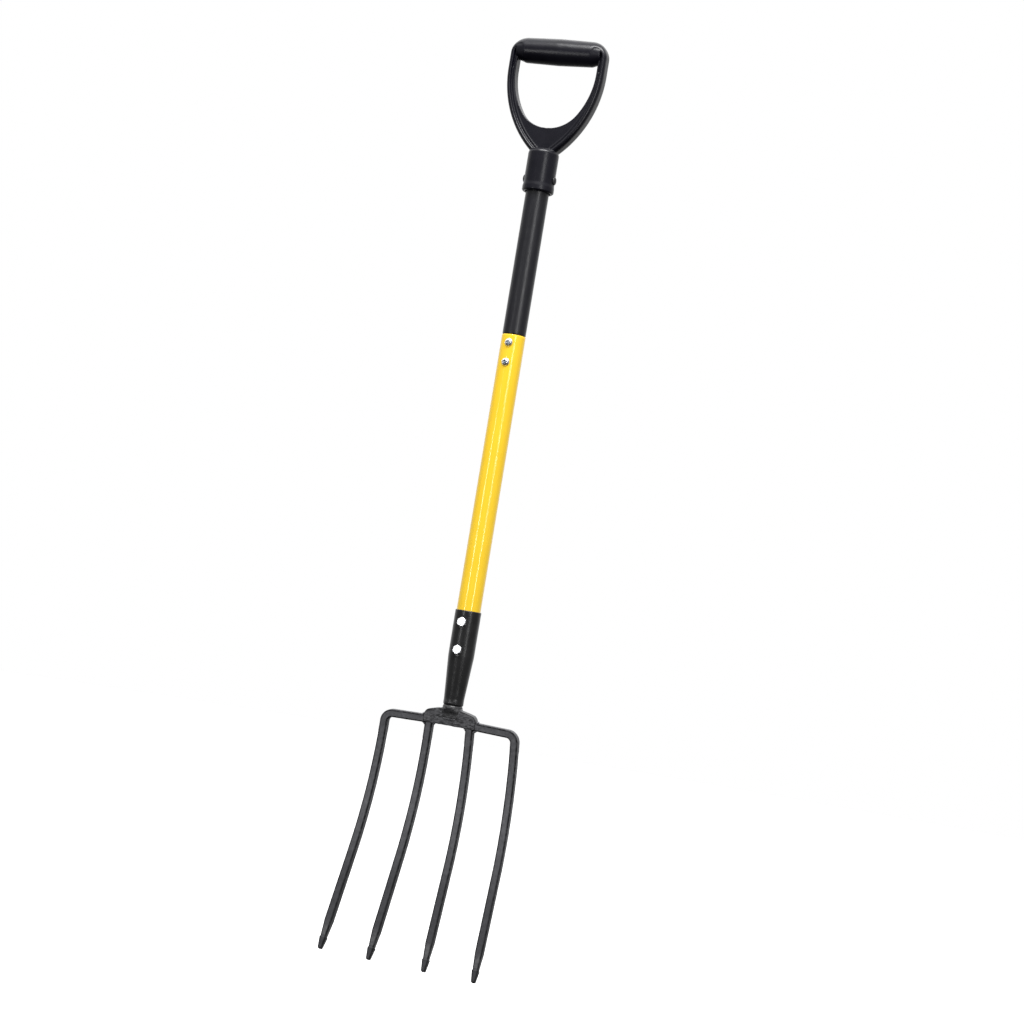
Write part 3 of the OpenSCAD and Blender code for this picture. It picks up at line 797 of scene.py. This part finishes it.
def tine_stations(start, splay, x):
    """(point, across, deep, distance back from the end) down one tine from start, before it is leant."""
    curve = CURVE_R * CURVE_ANGLE
    total = TINE_ROOT + curve + TAIL_L
    marks = np.concatenate([np.arange(start, total - 37, 2.0), np.arange(total - 36, total - 16.5, 1.0),
                            total - np.array([16.0, 15.4, 15.0, 14.7, 14.2, 13.8, 13.2]),
                            np.arange(total - 12, total - 1.2, 1.0), [total - 1.0, total - 0.6, total]])
    c, s = math.cos(splay), math.sin(splay)
    stations = []
    for d in marks:
        if d < TINE_ROOT:
            y, z, turn = 0.0, -d, 0.0
        elif d < TINE_ROOT + curve:
            turn = (d - TINE_ROOT) / CURVE_R
            y, z = -CURVE_R * (1 - math.cos(turn)), -TINE_ROOT - CURVE_R * math.sin(turn)
        else:
            turn = CURVE_ANGLE
            more = d - TINE_ROOT - curve
            y = -CURVE_R * (1 - math.cos(turn)) - more * math.sin(turn)
            z = -TINE_ROOT - CURVE_R * math.sin(turn) - more * math.cos(turn)
        point = np.array([x - z * s, y, z * c])
        deep = np.array([-math.sin(turn) * s, math.cos(turn), -math.sin(turn) * c])
        stations.append((point, np.array([c, 0, s]), deep, total - d))
    return stations


def arm_stations(splay):
    """The same, for the arm and the bend above an outer tine, from the plate outward."""
    r = CORNER_R - BAR / 2
    turn = math.pi / 2 - ARM_DROOP - splay
    tangent = r * math.tan(turn / 2)
    bend_x = OUTER_X / (1 - math.tan(ARM_DROOP) * math.tan(splay))
    bend_z = -bend_x * math.tan(ARM_DROOP)
    along = np.array([math.cos(ARM_DROOP), 0, -math.sin(ARM_DROOP)])
    up = np.array([math.sin(ARM_DROOP), 0, math.cos(ARM_DROOP)])
    arm_end = bend_x / math.cos(ARM_DROOP) - tangent
    centre = along * arm_end - up * r
    deep = np.array([0, 1.0, 0])
    stations = [(along * d, up, deep, 400.0) for d in np.arange(PLATE_HALF_W - 2, arm_end, 1.5)]
    for t in np.linspace(0, turn, 22):
        across = up * math.cos(t) + along * math.sin(t)
        stations.append((centre + across * r, across, deep, 400.0))
    return stations, -bend_z / math.cos(splay) + tangent


def build_tine(name, node, outer, left, material):
    """One tine with its faces slightly uneven, and with the layers that its material reads."""
    if outer:
        splay = math.atan((OUTER_TIP_X - OUTER_X) / TINE_REACH)
        stations, start = arm_stations(splay)
        stations = stations + tine_stations(start + 1.0, splay, OUTER_X)
    else:
        splay = math.atan((INNER_TIP_X - INNER_X) / TINE_REACH)
        stations = tine_stations(3.4, splay, INNER_X)
    back, half = tine_halves()
    rings = []
    for point, across, deep, left_to_go in stations:
        h = float(np.interp(left_to_go, back, half))
        rings.append(bar_ring(point, across, deep, h, min(BAR_EDGE_R, 0.32 * h)))
    rings = np.array(rings)
    centres = np.array([s[0] for s in stations])[:, None, :]
    away = rings - centres
    worked = np.array([min(1.0, s[3] / 12) for s in stations])[:, None]
    shrink = (lumps(rings, 9.0, 5.0 if left else 2.0) - 1) * 0.05 + (lumps(rings, 2.6, 7.0) - 1) * 0.03
    rings = rings + away / np.linalg.norm(away, axis=-1, keepdims=True) * (shrink * worked)[..., None]
    rings = leant(mirrored(rings) if left else rings)
    to_end = np.array([[station[3]] * rings.shape[1] for station in stations])
    obj = make_object(name, *skin(rings), edge=BAR_RING_EDGES * len(rings), to_end=to_end)
    finish_mesh(obj, 40)
    return dress(obj, node, material)


def build_tines():
    material = tine_grey()
    for outer in (True, False):
        for left in (True, False):
            node = f"{'outer' if outer else 'inner'}_tine_{'left' if left else 'right'}"
            build_tine(node + "_forged", node, outer, left, material)


# ---- shoulder and welds -------------------------------------------------------------------

def build_plate():
    """The plate's own CAD outline, with its edges rounded and its faces hammered."""
    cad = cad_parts["shoulder_plate"]
    obj = bpy.data.objects.new("shoulder_plate_forged", cad.data.copy())
    bpy.context.scene.collection.objects.link(obj)
    weld = obj.modifiers.new("weld", "WELD")
    weld.merge_threshold = 0.01 * MM
    remesh(obj, 0.55, 6)
    push(obj, lambda p, n: (lumps(p, 7.0, 1.0) - 1) * 0.16 + (lumps(p, 2.4, 6.0) - 1) * 0.09)
    finish_mesh(obj, 60)
    # outline=1.0 gives the plate painted shade along its outer edges
    steel = grey_steel("forged_grey", (0.048, 0.048, 0.052), (0.100, 0.100, 0.106),
                       sheen=0.40, blotch=4.0, dent=0.4, outline=1.0)
    return dress(obj, "shoulder_plate", steel)


def ball(centre, r):
    """A rough little ball, the unit that a weld bead is laid from."""
    rows = [(r * math.sin(t), r * math.cos(t)) for t in np.linspace(0.25, math.pi - 0.25, 8)]
    return skin(turned(rows, 16) + np.asarray(centre, float))


def bead(start, end, r, step, seed):
    """Overlapping blobs along a line, as a weld is laid."""
    start, end = np.asarray(start, float), np.asarray(end, float)
    count = max(2, int(np.linalg.norm(end - start) / step) + 1)
    blobs = []
    for i, t in enumerate(np.linspace(0, 1, count)):
        wobble = [noise.noise(Vector((i * 0.9 + seed, k * 3.1, seed))) for k in range(4)]
        centre = start + (end - start) * t + np.array(wobble[:3]) * 0.35 * r
        blobs.append(ball(centre, r * (1 + 0.25 * wobble[3])))
    return blobs


def build_beads(name, node, blobs, lean_them):
    """Fuses balls into weld beads."""
    verts, faces = joined(*blobs)
    obj = make_object(name, leant(verts) if lean_them else verts, faces)
    remesh(obj, 0.4, 4)
    push(obj, lambda p, n: lumps(p, 1.1, 3.0) * 0.10)
    finish_mesh(obj, 70)
    material = bpy.data.materials.get("weld_dark") or grey_steel(
        "weld_dark", (0.010, 0.010, 0.011), (0.024, 0.024, 0.026), sheen=0.46, blotch=2.0, dent=0.3)
    return dress(obj, node, material)


def build_welds():
    """Beads at the tines' roots and on the arms, and beads round the socket's foot."""
    half = BAR / 2
    blobs = []
    for side in (-1, 1):
        out_x, in_x = side * (INNER_X + half), side * (INNER_X - half)
        big = 1.8 if side > 0 else 1.4
        for y in (-2.2, 0.0, 2.2):
            start, end = (out_x + side * 3.0, y, -half - 0.6), (out_x - side * 0.4, y, -half - 3.4)
            blobs += bead(start, end, big * 0.8, 1.2, y + side)
            start, end = (in_x - side * 1.6, y, -half), (in_x + side * 0.2, y, -half - 1.8)
            blobs += bead(start, end, 1.1, 1.0, y - side)
        arm_x = side * (PLATE_HALF_W + 1.2)
        blobs += bead((arm_x, -2.0, half), (arm_x, 2.0, half), 1.0, 1.0, side)
    build_beads("tine_welds_beads", "tine_welds", blobs, True)
    blobs = []
    for side in (-1, 1):
        x, h = side * 11.4, PLATE_TOP - 0.7
        blobs += bead((x, -2.4, h), (x, 2.4, h), 0.95, 0.9, side)
    for side in (-1, 1):
        y = side * (PLATE_T / 2 + 0.2)
        blobs += bead((-6.5, y, SOCKET_LOW), (6.5, y, SOCKET_LOW), 1.2, 1.3, side * 2.0)
    build_beads("socket_welds_beads", "socket_welds", blobs, False)


# ---- D-grip -------------------------------------------------------------------------------

def arm_profile():
    """Half of an arm's section, as (distance in from its outer edge, depth): a rim, a groove and a lip."""
    return [(0.0, 4.0), (0.25, 6.2), (1.0, 8.0), (2.3, 9.3), (3.8, 9.95), (4.8, 9.7), (5.4, 8.8),
            (5.8, 7.4), (6.1, 5.9), (6.6, 5.3), (7.1, 5.6), (7.5, 6.5), (8.0, 7.1), (9.0, 7.1), (ARM_W, 6.3)]


def corner_section(blend):
    """The arm's section on its way into the hand bar's round one, which it is when blend is 1."""
    deepest = ARM_W + (BAR_END_R - ARM_W) * blend
    half = []
    for w, depth in arm_profile():
        w_here = w * deepest / ARM_W
        round_depth = math.sqrt(max(0.3, BAR_END_R ** 2 - (BAR_END_R - w_here) ** 2))
        half.append((w_here, depth * (1 - blend) + round_depth * blend))
    return half + [(w, -d) for w, d in reversed(half)]


def arm_rings(side):
    """Rings along one arm: up the long arc, a straight stretch, and round the corner into the hand bar."""
    centre_x = GRIP_W / 2 - ARM_OUTER_R
    sweep = math.acos((-centre_x + ARM_FOOT_X) / (ARM_OUTER_R - ARM_W / 2))
    corner_z = BAR_HEIGHT + BAR_END_R - GRIP_CORNER_R
    corner_x = GRIP_W / 2 - GRIP_CORNER_R
    section = corner_section(0.0)
    rings = []
    for t in np.linspace(-sweep, 0, 90):
        c, v = math.cos(t), math.sin(t)
        rings.append([(centre_x + (ARM_OUTER_R - w) * c, d, ARM_WIDE_HEIGHT + (ARM_OUTER_R - w) * v)
                      for w, d in section])
    for z in np.linspace(ARM_WIDE_HEIGHT, corner_z, 8)[1:-1]:
        rings.append([(GRIP_W / 2 - w, d, z) for w, d in section])
    for t in np.linspace(0, 90, 30):
        blend = float(smoothstep(8, 78, t))
        c, v = math.cos(math.radians(t)), math.sin(math.radians(t))
        rings.append([(corner_x + (GRIP_CORNER_R - w) * c, d, corner_z + (GRIP_CORNER_R - w) * v)
                      for w, d in corner_section(blend)])
    rings = np.array(rings)
    return rings if side > 0 else mirrored(rings)


def opening_half_width(h):
    """Half the width of the hand opening at a height."""
    inner_cx = ARM_INNER_R - OPENING_W / 2
    fall = ARM_WIDE_HEIGHT - OPENING_LOW
    low_r = (ARM_INNER_R ** 2 - inner_cx ** 2 - fall ** 2) / (2 * (ARM_INNER_R - fall))
    join = ARM_WIDE_HEIGHT - (fall - low_r) * ARM_INNER_R / (ARM_INNER_R - low_r)
    if h < join:
        return math.sqrt(max(0.0, low_r ** 2 - (h - OPENING_LOW - low_r) ** 2))
    return math.sqrt(max(0.0, ARM_INNER_R ** 2 - (h - ARM_WIDE_HEIGHT) ** 2)) - inner_cx


def outside_half_width(h, inset=0.0):
    """Half the width across the outsides of the arms at a height."""
    reach = math.sqrt(max(0.0, (ARM_OUTER_R - inset) ** 2 - (h - ARM_WIDE_HEIGHT) ** 2))
    return max(0.5, reach - (ARM_OUTER_R - GRIP_W / 2))


def web_part():
    """The crescent between the arms: strips from the opening's edge out to the arms."""
    half_t = WEB_T / 2
    below = np.linspace(NECK_TOP - 18, OPENING_LOW, 24)
    beside = np.linspace(OPENING_LOW + 0.6, WEB_TOP, 60)
    rows = []
    for h in np.concatenate([below, beside]):
        inner = 0.0 if h <= OPENING_LOW else opening_half_width(h)
        outer = outside_half_width(h, 3.0)
        rows.append((h, inner, max(outer, inner + 1.0)))
    parts = []
    for side in (-1, 1):
        rings = []
        for h, inner, outer in rows:
            start = -1.0 if inner == 0 else inner
            corners = ((start, -half_t), (outer, -half_t), (outer, half_t), (start, half_t))
            rings.append([(side * x, y, h) for x, y in corners])
        parts.append(skin(np.array(rings)))
    return parts


def build_grip():
    """Rim, groove and lip along each arm, a recessed crescent web, a barrel hand bar and a hollow neck."""
    parts = [skin(arm_rings(1)), skin(arm_rings(-1)), *web_part()]
    barrel_half = GRIP_W / 2 - GRIP_CORNER_R + 1
    xs = np.linspace(-barrel_half, barrel_half, 60)
    profile = [(BAR_FOOT_R, -OPENING_W / 2 - 2)]
    profile += [(BAR_MID_R + (BAR_END_R - BAR_MID_R) * abs(x) / barrel_half, x) for x in xs]
    profile += [(BAR_FOOT_R, OPENING_W / 2 + 2)]
    bar = turned(profile, 96)
    bar = np.stack([bar[..., 2], bar[..., 1], bar[..., 0] + BAR_HEIGHT], -1)
    parts.append(skin(bar))
    bore, mouth = UPPER_R + 0.1, UPPER_R + 1.2
    neck = [(bore, NECK_BORE_TOP), (bore, NECK_LOW + 4.2), (mouth, NECK_LOW + 4.0), (mouth, NECK_LOW)]
    neck += [(LIP_R - 1.5, NECK_LOW), (LIP_R, NECK_LOW + 1.5), (LIP_R, NECK_LOW + 6.5)]
    neck += [(NECK_R, NECK_LOW + 10.5)]
    neck += [(NECK_R, h) for h in np.linspace(NECK_LOW + 11, NECK_TOP - NECK_EDGE_R, 20)]
    neck += [(NECK_R - NECK_EDGE_R * (1 - math.cos(t)), NECK_TOP - NECK_EDGE_R * (1 - math.sin(t)))
             for t in np.linspace(0.2, 1.5, 8)]
    neck += [(0.3, NECK_TOP), (0.3, NECK_BORE_TOP)]
    parts.append(skin(turned(neck, 96), loop=True))
    obj = make_object("d_grip_moulded", *joined(*parts))
    remesh(obj, 0.45, 12)
    finish_mesh(obj, 60)
    return dress(obj, "d_grip", grip_plastic())


build_grip()
build_rivet()
build_upper_tube()
build_lower_tube()
build_screws()
build_socket()
build_bolts()
build_nuts()
build_plate()
build_tines()
build_welds()


# ---- studio -------------------------------------------------------------------------------

CAMERA_AZIMUTH = 20.1
CAMERA_DISTANCE = 2.522
CAMERA_HEIGHT = 119.9                                 # above the middle of the shoulder
CAMERA_TILT_UP = 3.084
CAMERA_PAN_RIGHT = 0.719
CAMERA_ROLL = 9.353
CAMERA_LENS = 74.98


def build_camera():
    """The camera, aimed level at the shaft and then tilted up, panned right and rolled."""
    a, tilt, pan, roll = (math.radians(v) for v in
                          (CAMERA_AZIMUTH, CAMERA_TILT_UP, CAMERA_PAN_RIGHT, CAMERA_ROLL))
    ahead = Vector((-math.sin(a) * math.cos(tilt), math.cos(a) * math.cos(tilt), math.sin(tilt)))
    right = Vector((math.cos(a), math.sin(a), 0))
    up = right.cross(ahead)
    ahead, right = (ahead * math.cos(pan) + right * math.sin(pan),
                    right * math.cos(pan) - ahead * math.sin(pan))
    right, up = (right * math.cos(roll) + up * math.sin(roll),
                 up * math.cos(roll) - right * math.sin(roll))
    data = bpy.data.cameras.new("camera")
    data.lens = CAMERA_LENS
    data.sensor_width = 36
    camera = bpy.data.objects.new("camera", data)
    height = (CAMERA_HEIGHT - ORIGIN_HEIGHT) * MM
    place = (math.sin(a) * CAMERA_DISTANCE, -math.cos(a) * CAMERA_DISTANCE, height)
    camera.matrix_world = Matrix.Translation(place) @ Matrix((right, up, -ahead)).transposed().to_4x4()
    bpy.context.scene.collection.objects.link(camera)
    bpy.context.scene.camera = camera


def soft_box(name, azimuth, distance, height, width, tall, power):
    """A rectangular lamp that faces the shaft from an azimuth, with its middle at a height in metres."""
    a = math.radians(azimuth)
    data = bpy.data.lights.new(name, "AREA")
    data.shape = "RECTANGLE"
    data.size, data.size_y = width, tall
    data.energy = power
    lamp = bpy.data.objects.new(name, data)
    lamp.location = (math.sin(a) * distance, -math.cos(a) * distance, height)
    lamp.rotation_euler = (math.pi / 2, 0, a)
    bpy.context.scene.collection.objects.link(lamp)
    return lamp


# the world's strength in front of the fork, behind it and above it, and the share left below
FRONT_GLOW = 0.32
BACK_GLOW = 1.0
TOP_GLOW = 1.3
BELOW_SHARE = 0.15


def build_world():
    """White to the camera. As light it is bright above and behind the fork and dim round the camera."""
    world = bpy.data.worlds.new("studio")
    bpy.context.scene.world = world
    world.use_nodes = True
    tree = world.node_tree
    nodes, links = tree.nodes, tree.links
    background = nodes["Background"]
    background.inputs["Color"].default_value = (1, 1, 1, 1)
    coords = nodes.new("ShaderNodeTexCoord")
    a = math.radians(CAMERA_AZIMUTH)
    behind = nodes.new("ShaderNodeVectorMath")
    behind.operation = "DOT_PRODUCT"
    behind.inputs[1].default_value = (-math.sin(a), math.cos(a), 0)
    links.new(coords.outputs["Generated"], behind.inputs[0])
    split = nodes.new("ShaderNodeSeparateXYZ")
    links.new(coords.outputs["Generated"], split.inputs[0])

    def ranged(source, low, high, out_low, out_high):
        made = nodes.new("ShaderNodeMapRange")
        made.interpolation_type = "SMOOTHSTEP"
        for key, value in zip(("From Min", "From Max", "To Min", "To Max"), (low, high, out_low, out_high)):
            made.inputs[key].default_value = value
        links.new(source, made.inputs["Value"])
        return made.outputs["Result"]

    def combined(operation, first, second):
        made = nodes.new("ShaderNodeMath")
        made.operation = operation
        links.new(first, made.inputs[0])
        links.new(second, made.inputs[1])
        return made.outputs[0]

    back = ranged(behind.outputs["Value"], 0.1, 0.85, FRONT_GLOW, BACK_GLOW)
    above = ranged(split.outputs[2], 0.30, 0.75, 0.0, TOP_GLOW)
    below = ranged(split.outputs[2], -0.55, -0.15, BELOW_SHARE, 1.0)
    glow = combined("ADD", combined("MULTIPLY", back, below), above)
    path = nodes.new("ShaderNodeLightPath")
    seen = nodes.new("ShaderNodeMix")
    links.new(path.outputs["Is Camera Ray"], seen.inputs[0])
    links.new(glow, seen.inputs[2])
    seen.inputs[3].default_value = 1.0
    links.new(seen.outputs[0], background.inputs["Strength"])


def build_floor():
    """A plain pale floor under the hanging fork."""
    drop, reach = 0.25, 9.0
    rings = [[(math.cos(t) * r, math.sin(t) * r, 0) for t in np.linspace(0, 2 * math.pi, 96, endpoint=False)]
             for r in (0.5, reach)]
    verts, faces = skin(np.array(rings))
    mesh = bpy.data.meshes.new("floor")
    mesh.from_pydata([tuple(v) for v in verts], [], faces[:96] + [tuple(range(96))])
    outward(mesh)
    floor = bpy.data.objects.new("floor", mesh)
    floor.location = (0, 0, cad_box[0].z - drop)
    bpy.context.scene.collection.objects.link(floor)
    s = Shader("floor")
    s.set(s.mix(s.noise(300), (0.93, 0.93, 0.93), (0.95, 0.95, 0.95)), 0.7)
    mesh.materials.append(s.material)
    floor.visible_diffuse = False
    floor.visible_glossy = False


build_camera()
build_world()
build_floor()
soft_box("strip_left", -20.1, 2.0, -0.53, 0.20, 0.56, 4.2)
soft_box("strip_right", 45.5, 2.0, -0.53, 0.18, 0.56, 4.0)
soft_box("high_right", 38.0, 2.2, 0.20, 0.50, 0.80, 8)
overhead = soft_box("overhead", 15.0, 1.1, 1.60, 1.60, 0.70, 75)
overhead.rotation_euler.x = math.radians(25)
bpy.context.scene.view_settings.view_transform = "Standard"
